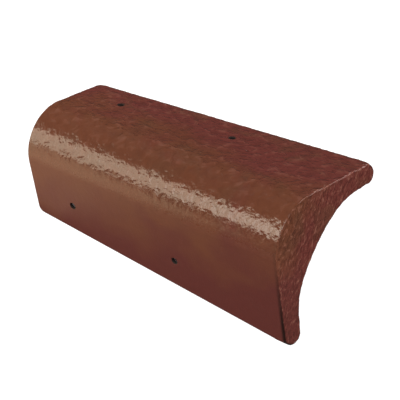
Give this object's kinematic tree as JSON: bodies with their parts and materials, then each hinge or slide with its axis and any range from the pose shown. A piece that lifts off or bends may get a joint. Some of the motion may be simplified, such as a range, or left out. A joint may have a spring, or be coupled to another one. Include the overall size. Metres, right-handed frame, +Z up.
{
  "type": "ridge end cap tile",
  "caption": "Tapered roof ridge tile with flat wings and a rounded crown, closed at its wide end by an arched wall; it is nailed over the end of a roof ridge.",
  "frame": {"origin": "on the ground, under the middle of the tile as it stands on its feet and its narrow end", "axes": "+X along the ridge towards the closed wide end, +Y across the wings, +Z up"},
  "size_m": [0.4482, 0.2542, 0.1486],
  "materials": {
    "moulded_plastic": "terracotta brown moulded composite with a grained, fairly glossy outer face and a plainer underside"
  },
  "bodies": {
    "root": {"ridge_end_cap_tile": "moulded_plastic"}
  },
  "joints": []
}
